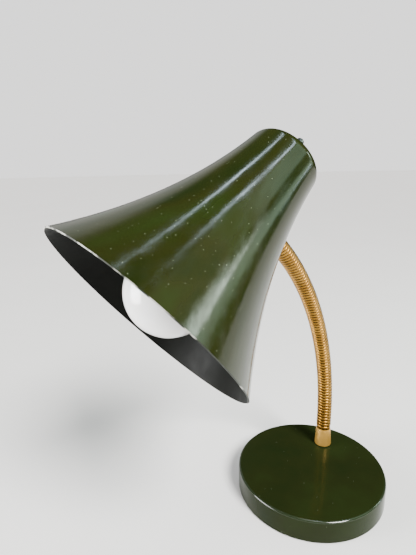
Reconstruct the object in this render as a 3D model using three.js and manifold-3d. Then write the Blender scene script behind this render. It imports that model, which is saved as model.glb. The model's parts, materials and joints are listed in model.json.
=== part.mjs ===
// Desk lamp: a round weighted base, a flexible brass neck and a trumpet-shaped shade
// whose lampholder and push switch sit inside it. Millimetres, +Z up.
// The origin is the centre of the base's underside. The neck stands at the back (+Y)
// and leans forward over the base (towards -Y).
import * as THREE from 'three';
import { mergeVertices } from 'three/addons/utils/BufferGeometryUtils.js';
import Module from 'manifold-3d';

const wasm = await Module();
wasm.setup();

// ---- Driving dimensions -----------------------------------------------------------
const GAP = 0.3; // clearance kept between pieces that touch
const DEG = Math.PI / 180;

// Base
const BASE_RADIUS = 71;
const BASE_HEIGHT = 22.5;
const BASE_EDGE_FILLET = 2;
const BASE_WALL = 1.2;
const BASE_SKIRT_LIFT = 1; // the steel skirt stops this far above the table
const FELT_THICKNESS = 1.2;
const FELT_RADIUS = 67;
const PLATE_THICKNESS = 1;
const WEIGHT_RADIUS = 66;
const WEIGHT_FLOOR = 6;
const WEIGHT_FOOT_RADIUS = 6;
const WEIGHT_RECESS_RADIUS = 13; // round recess over the nut of the neck's tube
const WEIGHT_RECESS_TOP = 13;
const WEIGHT_POCKET_WIDTH = 34; // pocket around the terminal block
const WEIGHT_POCKET_LENGTH = 44;
const WEIGHT_NOTCH_WIDTH = 26; // notch around the gland and its nut
const WEIGHT_NOTCH_LENGTH = 30;
const WEIGHT_POCKET_HEIGHT = 22; // half of it reaches below the weight's floor, so it is open
const PLATE_SCREW_CIRCLE = 52;
const PLATE_SCREW_ANGLES = [30, 150, 270];
const PLATE_SCREW_RADIUS = 1.5;
const PLATE_SCREW_END = 13;
const PLATE_HOLE_RADIUS = 2.2;
const FELT_HOLE_RADIUS = 4.5; // clears the screw heads
const GLAND_HEIGHT = 10;
const GLAND_ANGLE = 90; // azimuth of the cable gland in the skirt
const GLAND_STEM_RADIUS = 4;
const GLAND_STEM_START = 62; // the stem's inner end, from the base's axis
const GLAND_BORE_RADIUS = 2.8;
const GLAND_NUT_START = 66.6;
const GLAND_NUT_ACROSS_FLATS = 12;
const TERMINAL_BLOCK_WIDTH = 22;
const TERMINAL_BLOCK_DEPTH = 18;
const TERMINAL_BLOCK_BOTTOM = 3.7;
const TERMINAL_BLOCK_TOP = 14.7;
const SUPPLY_LEAD_RADIUS = 1.3;

// Threaded lamp tube (M10 x 1) used at both ends of the neck and on the lampholder
const TUBE_RADIUS = 4.95;
const TUBE_BORE_RADIUS = 3.5;
const TUBE_HOLE_RADIUS = TUBE_RADIUS + GAP;
const TUBE_NUT_ACROSS_FLATS = 14;
const FOOT_WASHER_RADIUS = 10;

// Neck
const FOOT_OFFSET = 41.4; // the neck stands this far behind the base's centre
const FERRULE_HEIGHT = 19.5;
const FERRULE_FOOT_RADIUS = 8.6;
const FERRULE_TOP_RADIUS = 7;
const NECK_RADIUS = 7;
const NECK_BORE_RADIUS = 2.8;
const NECK_SOCKET_RADIUS = 7.6;
const NECK_SPIGOT_RADIUS = 4.9; // the stub's spigot fits inside the foot ferrule
const NECK_SPIGOT_LENGTH = 7;
const NECK_STRAIGHT_TOP = 37; // height above the base where the bend begins
const NECK_BEND_RADIUS = 246;
const NECK_TURN = 52.6 * DEG;
const NECK_KNUCKLES = 8;
const NECK_HEADING = -11.5 * DEG; // the neck leans forward, a little to the lamp's right
const HEAD_FERRULE_LENGTH = 14;

// Shade, measured along its own axis from the centre of its opening
const SHADE_OPENING_RADIUS = 81.3;
const SHADE_BODY_LENGTH = 150.4;
const SHADE_RIM_SLOPE = 31.4 * DEG;
const SHADE_CAP_SLOPE = 7.2 * DEG;
const SHADE_CORNER_RADIUS = 8;
const SHADE_DOME_SLOPE = 65 * DEG;
const SHADE_WALL = 1;
const SHADE_ENTRY = 112; // the neck enters the wall this far from the opening
const SHADE_SWIVEL = -8.6 * DEG; // how far the head is turned on the neck's end

// Bulb (60 mm globe, E27 cap) and lampholder
const BULB_RADIUS = 30;
const BULB_CENTRE = 24;
const BULB_NECK_RADIUS = 12;
const BULB_CAP_START = 70;
const BULB_CAP_END = 93;
const BULB_CAP_RADIUS = 13.1;
const BULB_CONTACT_END = 98.5;
const BULB_CAP_MOUTH_RADIUS = 8;
const BULB_INSULATOR_END = 96.8;
const GLASS = 1;
const HOLDER_RADIUS = 19.5;
const HOLDER_RIM = 74;
const HOLDER_SHOULDER = 107;
const HOLDER_BACK = 113.8;
const HEAD_WASHER_RADIUS = 8.5; // between the head ferrule and the shade's wall
const BRACKET_WIDTH = 14;
const BRACKET_THICKNESS = 1.5;
const BRACKET_WASHER_RADIUS = 8;
const BRACKET_CLAMPED_FACE = 2.5; // from the shade's outer wall in to the clamped leg
const BRACKET_CROSS = 121; // the bracket's cross leg starts here on the shade's axis

// Push switch
const BUTTON_RADIUS = 3;
const BUTTON_TIP = 177;
const BUTTON_BORE_RADIUS = 3.3;
const SWITCH_BODY_START = 134;
const SWITCH_BODY_END = 153.5;
const SWITCH_BODY_RADIUS = 8.5;
const SWITCH_BORE_START = 148; // the button's bore, closed below this
const SWITCH_COLLAR_END = 168.6;
const SWITCH_WASHER_RADIUS = 7.5;
const RING_NUT_RADIUS = 6.8;
const BUTTON_INSIDE = 152; // the button's inner end

// ---- Materials --------------------------------------------------------------------
const finish = (color, roughness, metalness) =>
  new THREE.MeshStandardMaterial({ color, roughness, metalness });
const enamel = finish(0x2f4018, 0.25, 0);
const brass = finish(0xc9a45c, 0.35, 1);
const steel = finish(0x9a9a98, 0.4, 1);
const castIron = finish(0x3a3a3a, 0.8, 0.6);
const felt = finish(0x1f2a1b, 1, 0);
const bakelite = finish(0x17130f, 0.35, 0);
const ceramic = finish(0xe6e0d2, 0.5, 0);
const opalGlass = finish(0xf4f1ea, 0.2, 0);
const blackGlass = finish(0x101014, 0.2, 0);
const rubber = finish(0x1b1b1b, 0.8, 0);
const sheathing = finish(0xd8d0bd, 0.6, 0);

// ---- Geometry helpers -------------------------------------------------------------
const point = (radius, height) => new THREE.Vector2(radius, height);

// Points of a circular arc in a turning profile, both ends included.
function arc(centreRadius, centreHeight, radius, fromAngle, toAngle, steps) {
  const points = [];
  for (let i = 0; i <= steps; i++) {
    const angle = fromAngle + ((toAngle - fromAngle) * i) / steps;
    const across = centreRadius + radius * Math.cos(angle);
    points.push(point(across, centreHeight + radius * Math.sin(angle)));
  }
  return points;
}

// Shared vertices only, no empty triangles, and faces that point outwards.
function tidy(geometry) {
  geometry.deleteAttribute('normal');
  geometry.deleteAttribute('uv');
  const merged = mergeVertices(geometry, 1e-4);
  const index = merged.getIndex().array;
  const position = merged.getAttribute('position');
  const a = new THREE.Vector3();
  const b = new THREE.Vector3();
  const c = new THREE.Vector3();
  const kept = [];
  let volume = 0;
  for (let i = 0; i < index.length; i += 3) {
    const [p, q, r] = [index[i], index[i + 1], index[i + 2]];
    if (p === q || q === r || r === p) continue;
    kept.push(p, q, r);
    a.fromBufferAttribute(position, p);
    b.fromBufferAttribute(position, q);
    c.fromBufferAttribute(position, r);
    volume += a.dot(b.cross(c));
  }
  if (volume < 0) kept.reverse();
  merged.setIndex(kept);
  return merged;
}

// A solid turned about Z from a profile of (radius, height) points.
// A profile that doesn't end on the axis closes on itself.
function turned(points, sides) {
  const onAxis = points[0].x === 0 && points[points.length - 1].x === 0;
  const profile = onAxis ? points : [...points, points[0].clone()];
  const geometry = new THREE.LatheGeometry(profile, sides);
  geometry.rotateX(Math.PI / 2);
  return tidy(geometry);
}

// A plain tube or, with no bore, a plain rod, standing on height `from`.
function tube(radius, bore, from, to, sides) {
  return turned([point(bore, from), point(radius, from), point(radius, to), point(bore, to)], sides);
}

function hexNut(acrossFlats, hole, from, to) {
  const shape = new THREE.Shape();
  const corner = acrossFlats / Math.sqrt(3);
  for (let i = 0; i < 6; i++) {
    const angle = i * 60 * DEG;
    const draw = i === 0 ? 'moveTo' : 'lineTo';
    shape[draw](corner * Math.cos(angle), corner * Math.sin(angle));
  }
  shape.closePath();
  shape.holes.push(new THREE.Path().absarc(0, 0, hole, 0, 2 * Math.PI, true));
  const settings = { depth: to - from, bevelEnabled: false, curveSegments: 8 };
  const geometry = new THREE.ExtrudeGeometry(shape, settings);
  geometry.translate(0, 0, from);
  return tidy(geometry);
}

// A round lead of the given radius along a smooth curve through the points.
function lead(radius, points, steps) {
  const path = new THREE.CatmullRomCurve3(points.map((p) => new THREE.Vector3(...p)));
  const section = new THREE.Shape().absarc(0, 0, radius, 0, 2 * Math.PI, false);
  const settings = { steps, curveSegments: 4, extrudePath: path, bevelEnabled: false };
  return tidy(new THREE.ExtrudeGeometry(section, settings));
}

function toSolid(geometry) {
  return new wasm.Manifold(
    new wasm.Mesh({
      numProp: 3,
      vertProperties: new Float32Array(geometry.getAttribute('position').array),
      triVerts: new Uint32Array(geometry.getIndex().array),
    }),
  );
}

function toGeometry(solid) {
  const mesh = solid.getMesh();
  const geometry = new THREE.BufferGeometry();
  geometry.setAttribute('position', new THREE.BufferAttribute(new Float32Array(mesh.vertProperties), 3));
  geometry.setIndex(new THREE.BufferAttribute(new Uint32Array(mesh.triVerts), 1));
  return geometry;
}

// The blank with every tool in `cuts` taken away and every one in `joins` added first.
function machined(blank, cuts, joins = []) {
  let solid = toSolid(blank);
  for (const extra of joins) solid = solid.add(toSolid(extra));
  for (const cut of cuts) solid = solid.subtract(toSolid(cut));
  return toGeometry(solid);
}

function piece(name, geometry, material) {
  const mesh = new THREE.Mesh(geometry, material);
  mesh.name = name;
  return mesh;
}

// ---- Base -------------------------------------------------------------------------
const platePlane = FELT_THICKNESS + GAP;
const plateTop = platePlane + PLATE_THICKNESS;
const shellCeiling = BASE_HEIGHT - BASE_WALL;
const skirtInside = BASE_RADIUS - BASE_WALL;
const weightTop = shellCeiling - GAP;

const screwPlaces = PLATE_SCREW_ANGLES.map((angle) => [
  PLATE_SCREW_CIRCLE * Math.cos(angle * DEG),
  PLATE_SCREW_CIRCLE * Math.sin(angle * DEG),
]);

// Upright rods, one at each of the plate's screws.
function rodsAtScrews(radius, from, to, sides) {
  return screwPlaces.map(([x, y]) => tube(radius, 0, from, to, sides).translate(x, y, 0));
}

const glandTurn = new THREE.Matrix4()
  .makeRotationZ(GLAND_ANGLE * DEG)
  .multiply(new THREE.Matrix4().makeTranslation(0, 0, GLAND_HEIGHT))
  .multiply(new THREE.Matrix4().makeRotationY(Math.PI / 2));

function baseShell() {
  const edge = BASE_RADIUS - BASE_EDGE_FILLET;
  const insideFillet = BASE_EDGE_FILLET - BASE_WALL;
  const profile = [
    point(0, BASE_HEIGHT),
    ...arc(edge, BASE_HEIGHT - BASE_EDGE_FILLET, BASE_EDGE_FILLET, Math.PI / 2, 0, 4),
    point(BASE_RADIUS, BASE_SKIRT_LIFT),
    point(skirtInside, BASE_SKIRT_LIFT),
    ...arc(edge, BASE_HEIGHT - BASE_EDGE_FILLET, insideFillet, 0, Math.PI / 2, 2),
    point(0, shellCeiling),
  ];
  const neckHole = tube(TUBE_HOLE_RADIUS, 0, shellCeiling - 1, BASE_HEIGHT + 1, 20);
  neckHole.translate(0, FOOT_OFFSET, 0);
  const glandHole = tube(GLAND_STEM_RADIUS + GAP, 0, skirtInside - 2, BASE_RADIUS + 2, 16);
  glandHole.applyMatrix4(glandTurn);
  return machined(turned(profile, 48), [neckHole, glandHole]);
}

// Cast ballast: bored for the neck's tube, with a recess for its nut, a pocket for the
// terminal block, a notch for the gland, and three feet that the bottom plate screws to.
function baseWeight() {
  const below = WEIGHT_FLOOR - 1;
  const feet = rodsAtScrews(WEIGHT_FOOT_RADIUS, plateTop + GAP, WEIGHT_FLOOR + 1, 16);
  const threads = rodsAtScrews(PLATE_SCREW_RADIUS + GAP, 0, PLATE_SCREW_END + 1, 12);
  const tubeHole = tube(TUBE_HOLE_RADIUS, 0, below, weightTop + 1, 20);
  tubeHole.translate(0, FOOT_OFFSET, 0);
  const nutRecess = tube(WEIGHT_RECESS_RADIUS, 0, below, WEIGHT_RECESS_TOP, 24);
  nutRecess.translate(0, FOOT_OFFSET, 0);
  const blockPocket = new THREE.BoxGeometry(WEIGHT_POCKET_WIDTH, WEIGHT_POCKET_LENGTH, WEIGHT_POCKET_HEIGHT);
  blockPocket.translate(0, 3, WEIGHT_FLOOR);
  const glandNotch = new THREE.BoxGeometry(WEIGHT_NOTCH_WIDTH, WEIGHT_NOTCH_LENGTH, WEIGHT_POCKET_HEIGHT);
  glandNotch.translate(0, WEIGHT_RADIUS - 6, WEIGHT_FLOOR);
  glandNotch.rotateZ((GLAND_ANGLE - 90) * DEG);
  const cuts = [tubeHole, nutRecess, tidy(blockPocket), tidy(glandNotch), ...threads];
  return machined(tube(WEIGHT_RADIUS, 0, WEIGHT_FLOOR, weightTop, 48), cuts, feet);
}

// A disc with a hole for each of the plate's screws.
function disc(radius, from, to, holeRadius) {
  return machined(tube(radius, 0, from, to, 48), rodsAtScrews(holeRadius, from - 1, to + 1, 16));
}

// Pan-head screw with its head down, as seen with the lamp turned over.
function plateScrew() {
  const headBottom = GAP;
  const headTop = platePlane - GAP;
  const profile = [
    point(0, headBottom),
    point(2.6, headBottom),
    point(3.5, headTop),
    point(PLATE_SCREW_RADIUS, headTop),
    point(PLATE_SCREW_RADIUS, PLATE_SCREW_END),
    point(0, PLATE_SCREW_END),
  ];
  return turned(profile, 16);
}

function cableGland() {
  const flangeStart = BASE_RADIUS + GAP;
  const flangeEnd = flangeStart + 3;
  return turned(
    [
      point(GLAND_BORE_RADIUS, GLAND_STEM_START),
      point(GLAND_STEM_RADIUS, GLAND_STEM_START),
      point(GLAND_STEM_RADIUS, flangeStart),
      point(6.2, flangeStart),
      ...arc(4.7, flangeEnd - 1.5, 1.5, 0, Math.PI / 2, 3),
      point(3.4, flangeEnd),
      point(GLAND_BORE_RADIUS, flangeEnd - 0.6),
    ],
    20,
  ).applyMatrix4(glandTurn);
}

function footFerrule() {
  const bore = TUBE_HOLE_RADIUS;
  const round = 1.5;
  return turned(
    [
      point(bore, GAP),
      point(FERRULE_FOOT_RADIUS - round, GAP),
      ...arc(FERRULE_FOOT_RADIUS - round, GAP + round, round, -Math.PI / 2, 0, 4),
      point(FERRULE_TOP_RADIUS, FERRULE_HEIGHT - 0.5),
      point(FERRULE_TOP_RADIUS - 0.5, FERRULE_HEIGHT),
      point(bore, FERRULE_HEIGHT),
    ],
    28,
  );
}

const lamp = new THREE.Group();

function addBase() {
  const blockHeight = TERMINAL_BLOCK_TOP - TERMINAL_BLOCK_BOTTOM;
  const block = new THREE.BoxGeometry(TERMINAL_BLOCK_WIDTH, TERMINAL_BLOCK_DEPTH, blockHeight);
  block.translate(0, 0, TERMINAL_BLOCK_BOTTOM + blockHeight / 2);
  const screwFrom = TERMINAL_BLOCK_TOP + GAP;
  const blockScrew = (x) => tube(2.2, 0, screwFrom, screwFrom + 1.3, 12).translate(x, 0, 0);
  const glandNut = hexNut(
    GLAND_NUT_ACROSS_FLATS,
    GLAND_STEM_RADIUS + GAP,
    GLAND_NUT_START,
    skirtInside - 0.8,
  ).applyMatrix4(glandTurn);
  const leadHeight = 4.3;
  lamp.add(
    piece('base_shell', baseShell(), enamel),
    piece('base_weight', baseWeight(), castIron),
    piece('base_plate', disc(skirtInside - 0.5, platePlane, plateTop, PLATE_HOLE_RADIUS), steel),
    piece('felt_pad', disc(FELT_RADIUS, 0, FELT_THICKNESS, FELT_HOLE_RADIUS), felt),
    piece('cable_gland', cableGland(), rubber),
    piece('gland_nut', glandNut, steel),
    piece('terminal_block', tidy(block), ceramic),
    piece('terminal_screw_1', blockScrew(-5), brass),
    piece('terminal_screw_2', blockScrew(5), brass),
  );
  screwPlaces.forEach(([x, y], i) => {
    const screw = piece(`plate_screw_${i + 1}`, plateScrew(), steel);
    screw.position.set(x, y, 0);
    lamp.add(screw);
  });
  const glandMouth = GLAND_STEM_START - 2 * GAP;
  const direction = [Math.cos(GLAND_ANGLE * DEG), Math.sin(GLAND_ANGLE * DEG)];
  lamp.add(
    piece(
      'supply_lead',
      lead(
        SUPPLY_LEAD_RADIUS,
        [
          [direction[0] * glandMouth, direction[1] * glandMouth, GLAND_HEIGHT],
          [direction[0] * 58 + 3, direction[1] * 58, 6.5],
          [9, 50, leadHeight],
          [11, 38, leadHeight],
          [8, 20, leadHeight],
          [5, 13, 7],
          [5, 10.4, 9],
        ],
        16,
      ),
      sheathing,
    ),
    piece(
      'riser_lead',
      lead(
        SUPPLY_LEAD_RADIUS,
        [
          [-5, 10.4, 9],
          [-5, 13, 7],
          [-6, 22, leadHeight],
          [-4, 34, leadHeight - 0.1],
          [-1, 40, leadHeight],
          [0, FOOT_OFFSET, 7],
          [0, FOOT_OFFSET, 13],
        ],
        16,
      ),
      sheathing,
    ),
  );
}

// ---- Neck -------------------------------------------------------------------------
const flexStart = FERRULE_HEIGHT + GAP + 0.3;
const straightLength = NECK_STRAIGHT_TOP - flexStart;
const flexLength = straightLength + NECK_BEND_RADIUS * NECK_TURN;
const knucklePitch = flexLength / NECK_KNUCKLES;

// A point on the neck's centre line, as a length along it from the foot ferrule's top.
function neckPoint(length) {
  const bend = Math.max(0, length - straightLength) / NECK_BEND_RADIUS;
  return new THREE.Vector3(
    0,
    -NECK_BEND_RADIUS * (1 - Math.cos(bend)),
    flexStart + Math.min(length, straightLength) + NECK_BEND_RADIUS * Math.sin(bend),
  );
}

const neckEnd = neckPoint(flexLength);
const neckEndDirection = new THREE.Vector3(0, -Math.sin(NECK_TURN), Math.cos(NECK_TURN));

// One link of the neck, from its own knuckle at height 0 to the next one at `length`.
// Its lower end is a socket that turns on the round top of the link below it.
function neckLink(length, lowerEnd, upperEnd) {
  const ballEdge = Math.acos(NECK_BORE_RADIUS / NECK_RADIUS);
  const socketInner = Math.acos(NECK_BORE_RADIUS / NECK_SOCKET_RADIUS);
  const socketOuter = Math.acos(NECK_RADIUS / NECK_SOCKET_RADIUS);
  const lower = {
    socket: arc(0, 0, NECK_SOCKET_RADIUS, socketInner, socketOuter, 3),
    spigot: [
      point(NECK_BORE_RADIUS, -NECK_SPIGOT_LENGTH),
      point(NECK_SPIGOT_RADIUS, -NECK_SPIGOT_LENGTH),
      point(NECK_SPIGOT_RADIUS, 0),
      point(NECK_RADIUS, 0),
    ],
  };
  const upper = {
    ball: arc(0, length, NECK_RADIUS, 0, ballEdge, 3),
    flat: [point(NECK_RADIUS, length - 0.4), point(NECK_BORE_RADIUS, length - 0.4)],
  };
  return turned([...lower[lowerEnd], ...upper[upperEnd]], 14);
}

// A frame whose Z runs along the neck's end and whose origin is where the neck's axis
// meets the shade's outer wall.
const nippleFrame = new THREE.Group();
const neckGroup = new THREE.Group();

function addNeck() {
  neckGroup.position.set(0, FOOT_OFFSET, BASE_HEIGHT);
  neckGroup.rotation.z = NECK_HEADING;
  lamp.add(neckGroup);

  const tubeBottom = 5.6 - BASE_HEIGHT;
  const tubeTop = 10;
  const nutBottom = 6.9 - BASE_HEIGHT;
  const nutTop = nutBottom + 4;
  const washerBottom = nutTop + GAP;
  const footTube = tube(TUBE_RADIUS, TUBE_BORE_RADIUS, tubeBottom, tubeTop, 20);
  const footWasher = tube(FOOT_WASHER_RADIUS, TUBE_HOLE_RADIUS, washerBottom, washerBottom + 1.5, 20);
  const footNut = hexNut(TUBE_NUT_ACROSS_FLATS, TUBE_HOLE_RADIUS, nutBottom, nutTop);
  neckGroup.add(
    piece('foot_ferrule', footFerrule(), brass),
    piece('foot_tube', footTube, steel),
    piece('foot_washer', footWasher, steel),
    piece('foot_nut', footNut, steel),
  );

  const stub = piece('neck_stub', neckLink(knucklePitch / 2, 'spigot', 'ball'), brass);
  stub.position.copy(neckPoint(0));
  neckGroup.add(stub);
  for (let i = 1; i <= NECK_KNUCKLES; i++) {
    const last = i === NECK_KNUCKLES;
    const knuckle = neckPoint((i - 0.5) * knucklePitch);
    const next = last ? neckEnd : neckPoint((i + 0.5) * knucklePitch);
    const along = next.clone().sub(knuckle);
    const shape = neckLink(along.length(), 'socket', last ? 'flat' : 'ball');
    const link = piece(`neck_link_${i}`, shape, brass);
    link.position.copy(knuckle);
    link.rotation.x = Math.atan2(-along.y, along.z);
    neckGroup.add(link);
  }

  nippleFrame.position.copy(neckEnd).addScaledVector(neckEndDirection, HEAD_FERRULE_LENGTH);
  nippleFrame.rotation.x = NECK_TURN;
  neckGroup.add(nippleFrame);
  const ferruleStart = -HEAD_FERRULE_LENGTH + 0.2;
  const ferruleEnd = -1.9;
  const headFerrule = turned(
    [
      point(TUBE_HOLE_RADIUS, ferruleStart),
      point(FERRULE_TOP_RADIUS - 0.5, ferruleStart),
      point(FERRULE_TOP_RADIUS, ferruleStart + 0.5),
      point(FERRULE_FOOT_RADIUS - 0.6, ferruleEnd - 1),
      point(FERRULE_FOOT_RADIUS - 0.8, ferruleEnd),
      point(TUBE_HOLE_RADIUS, ferruleEnd),
    ],
    28,
  );
  nippleFrame.add(
    piece('head_ferrule', headFerrule, brass),
    piece('head_tube', tube(TUBE_RADIUS, TUBE_BORE_RADIUS, ferruleStart + 1, 11, 20), steel),
  );
}

// ---- Shade ------------------------------------------------------------------------
const flareRadius = SHADE_BODY_LENGTH / (Math.sin(SHADE_RIM_SLOPE) - Math.sin(SHADE_CAP_SLOPE));

// The wall's slope where it is `along` from the opening.
const slopeAt = (along) => Math.asin(Math.sin(SHADE_RIM_SLOPE) - along / flareRadius);
// The outer wall's radius at that slope.
const radiusAt = (slope) =>
  SHADE_OPENING_RADIUS - flareRadius * (Math.cos(slope) - Math.cos(SHADE_RIM_SLOPE));

// The shade's outline from rim to cap, moved `inset` in from the outer surface: one long
// flaring arc, a small corner arc and a shallow dome that stops at the switch's hole.
function shadeOutline(inset, flareSteps) {
  const points = [];
  for (let i = 0; i <= flareSteps; i++) {
    const slope = SHADE_RIM_SLOPE + ((SHADE_CAP_SLOPE - SHADE_RIM_SLOPE) * i) / flareSteps;
    const along = flareRadius * (Math.sin(SHADE_RIM_SLOPE) - Math.sin(slope));
    points.push(point(radiusAt(slope) - inset * Math.cos(slope), along - inset * Math.sin(slope)));
  }
  const capRadius = radiusAt(SHADE_CAP_SLOPE);
  const cornerRadius = capRadius - SHADE_CORNER_RADIUS * Math.cos(SHADE_CAP_SLOPE);
  const cornerAlong = SHADE_BODY_LENGTH - SHADE_CORNER_RADIUS * Math.sin(SHADE_CAP_SLOPE);
  const cornerBend = SHADE_CORNER_RADIUS - inset;
  const corner = arc(cornerRadius, cornerAlong, cornerBend, SHADE_CAP_SLOPE, SHADE_DOME_SLOPE, 4);
  points.push(...corner.slice(1));
  const holeSlope = Math.acos(TUBE_HOLE_RADIUS / (dome.radius - inset));
  points.push(...arc(0, dome.centre, dome.radius - inset, SHADE_DOME_SLOPE, holeSlope, 2).slice(1));
  return points;
}

// The sphere that the cap's dome is part of, tangent to the corner arc.
function domeSphere() {
  const inward = SHADE_CORNER_RADIUS * (Math.cos(SHADE_CAP_SLOPE) - Math.cos(SHADE_DOME_SLOPE));
  const edgeRadius = radiusAt(SHADE_CAP_SLOPE) - inward;
  const edgeAlong =
    SHADE_BODY_LENGTH + SHADE_CORNER_RADIUS * (Math.sin(SHADE_DOME_SLOPE) - Math.sin(SHADE_CAP_SLOPE));
  const radius = edgeRadius / Math.cos(SHADE_DOME_SLOPE);
  return { radius, centre: edgeAlong - radius * Math.sin(SHADE_DOME_SLOPE) };
}

const entrySlope = slopeAt(SHADE_ENTRY);
const entryRadius = radiusAt(entrySlope);
const dome = domeSphere();
const domeTop = dome.centre + dome.radius;

// The nipple stands square to the wall, so this turns the nipple's frame into the
// shade's: Z along the shade's axis, Y towards the neck.
const nippleToShade = -(90 * DEG + entrySlope);

function shadeShell() {
  const outline = [...shadeOutline(0, 10), ...shadeOutline(SHADE_WALL, 8).reverse()];
  const entryHole = tube(TUBE_HOLE_RADIUS, 0, -6, 6, 20);
  entryHole.rotateX(-nippleToShade);
  entryHole.translate(0, entryRadius, SHADE_ENTRY);
  return machined(turned(outline, 44), [entryHole]);
}

// ---- Lampholder, bulb and switch, in the shade's frame ------------------------------
function bulbOutline(inset) {
  const shoulder = 48 * DEG;
  const neckStart = BULB_CAP_START - 9;
  const neckRadius = 15.5 - inset;
  const globe = arc(0, BULB_CENTRE, BULB_RADIUS - inset, -Math.PI / 2, shoulder, 9);
  globe[0].x = 0;
  const joint = globe[globe.length - 1];
  const taper = new THREE.CubicBezierCurve(
    joint,
    point(joint.x - 7 * Math.sin(shoulder), joint.y + 7 * Math.cos(shoulder)),
    point(neckRadius + 0.6, neckStart - 8),
    point(neckRadius, neckStart),
  );
  return [...globe, ...taper.getPoints(4).slice(1), point(BULB_NECK_RADIUS - inset, BULB_CAP_START)];
}

function bulbGlass() {
  const seat = BULB_CAP_START + 4;
  const outer = bulbOutline(0);
  const inner = bulbOutline(GLASS).reverse();
  const seatRing = [point(BULB_NECK_RADIUS, seat), point(BULB_NECK_RADIUS - GLASS, seat)];
  return turned([...outer, ...seatRing, ...inner], 22);
}

function bulbCap() {
  const sheet = 0.5;
  const threadEnd = BULB_CAP_END - 2;
  return turned(
    [
      point(BULB_CAP_RADIUS, BULB_CAP_START + 0.4),
      point(BULB_CAP_RADIUS, threadEnd),
      point(BULB_CAP_MOUTH_RADIUS, BULB_CAP_END),
      point(BULB_CAP_MOUTH_RADIUS - sheet, BULB_CAP_END - sheet),
      point(BULB_CAP_RADIUS - sheet, threadEnd - sheet),
      point(BULB_CAP_RADIUS - sheet, BULB_CAP_START + 0.4),
    ],
    24,
  );
}

function bulbInsulator() {
  const start = BULB_CAP_END + GAP;
  const profile = [
    point(0, start),
    point(BULB_CAP_MOUTH_RADIUS, start),
    point(5, BULB_INSULATOR_END),
    point(0, BULB_INSULATOR_END),
  ];
  return turned(profile, 20);
}

function bulbContact() {
  const start = BULB_INSULATOR_END + GAP;
  const profile = [
    point(0, start),
    point(4.5, start),
    point(3.2, BULB_CONTACT_END),
    point(0, BULB_CONTACT_END),
  ];
  return turned(profile, 16);
}

function holderBody() {
  const wall = 1.6;
  const backRadius = 9;
  return turned(
    [
      point(HOLDER_RADIUS, HOLDER_RIM),
      point(HOLDER_RADIUS, HOLDER_SHOULDER),
      point(HOLDER_RADIUS - 2, HOLDER_SHOULDER + 2),
      point(backRadius + 1, HOLDER_BACK - 1),
      point(backRadius, HOLDER_BACK),
      point(TUBE_HOLE_RADIUS, HOLDER_BACK),
      point(TUBE_HOLE_RADIUS, HOLDER_BACK - wall - 1),
      point(backRadius, HOLDER_BACK - wall - 1),
      point(HOLDER_RADIUS - wall, HOLDER_SHOULDER),
      point(HOLDER_RADIUS - wall, HOLDER_RIM),
    ],
    28,
  );
}

// Steel strap: one leg is clamped by the nut on the neck's tube, the other crosses the
// shade's axis behind the lampholder. Drawn in the nipple's frame, in its YZ plane.
function bracket() {
  const inner = BRACKET_CLAMPED_FACE;
  const outer = inner + BRACKET_THICKNESS;
  const axisY = Math.cos(entrySlope);
  const axisZ = -Math.sin(entrySlope);
  const inwardY = -axisZ;
  const inwardZ = axisY;
  // Where the cross leg's two faces meet the clamped leg's two faces.
  const meet = (face, cross) => [(cross - SHADE_ENTRY - face * axisZ) / axisY, face];
  const [outsideY, outsideZ] = meet(inner, BRACKET_CROSS + BRACKET_THICKNESS);
  const [insideY, insideZ] = meet(outer, BRACKET_CROSS);
  const crossLength = entryRadius + 6;
  const reach = ([y, z]) => [y + inwardY * crossLength, z + inwardZ * crossLength];
  const endOutside = reach([outsideY, outsideZ]);
  const endInside = reach([insideY, insideZ]);
  const heel = -9;
  const shape = new THREE.Shape([
    point(heel, inner),
    point(outsideY, outsideZ),
    point(...endOutside),
    point(...endInside),
    point(insideY, insideZ),
    point(heel, outer),
  ]);
  const strap = new THREE.ExtrudeGeometry(shape, { depth: BRACKET_WIDTH, bevelEnabled: false });
  // The shape's x and y become the frame's Y and Z.
  strap.translate(0, 0, -BRACKET_WIDTH / 2);
  strap.rotateZ(Math.PI / 2).rotateY(Math.PI / 2);
  const clampHole = tube(TUBE_HOLE_RADIUS, 0, inner - 2, outer + 2, 20);
  const crossHole = tube(TUBE_HOLE_RADIUS, 0, BRACKET_CROSS - 2, BRACKET_CROSS + 4, 20);
  crossHole.translate(0, -entryRadius, -SHADE_ENTRY).rotateX(nippleToShade);
  return machined(tidy(strap), [clampHole, crossHole]);
}

function switchBody() {
  return turned(
    [
      point(0, SWITCH_BODY_START),
      point(SWITCH_BODY_RADIUS, SWITCH_BODY_START),
      point(SWITCH_BODY_RADIUS, SWITCH_BODY_END),
      point(TUBE_RADIUS, SWITCH_BODY_END),
      point(TUBE_RADIUS, SWITCH_COLLAR_END - 0.6),
      point(TUBE_RADIUS - 0.6, SWITCH_COLLAR_END),
      point(BUTTON_BORE_RADIUS, SWITCH_COLLAR_END),
      point(BUTTON_BORE_RADIUS, SWITCH_BORE_START),
      point(0, SWITCH_BORE_START),
    ],
    24,
  );
}

function pushButton() {
  const crown = 1.8;
  const crownRadius = (BUTTON_RADIUS ** 2 + crown ** 2) / (2 * crown);
  const edge = Math.acos(BUTTON_RADIUS / crownRadius);
  const crownArc = arc(0, BUTTON_TIP - crownRadius, crownRadius, edge, Math.PI / 2, 4);
  crownArc[crownArc.length - 1].x = 0;
  return turned([point(0, BUTTON_INSIDE), point(BUTTON_RADIUS, BUTTON_INSIDE), ...crownArc], 20);
}

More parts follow.
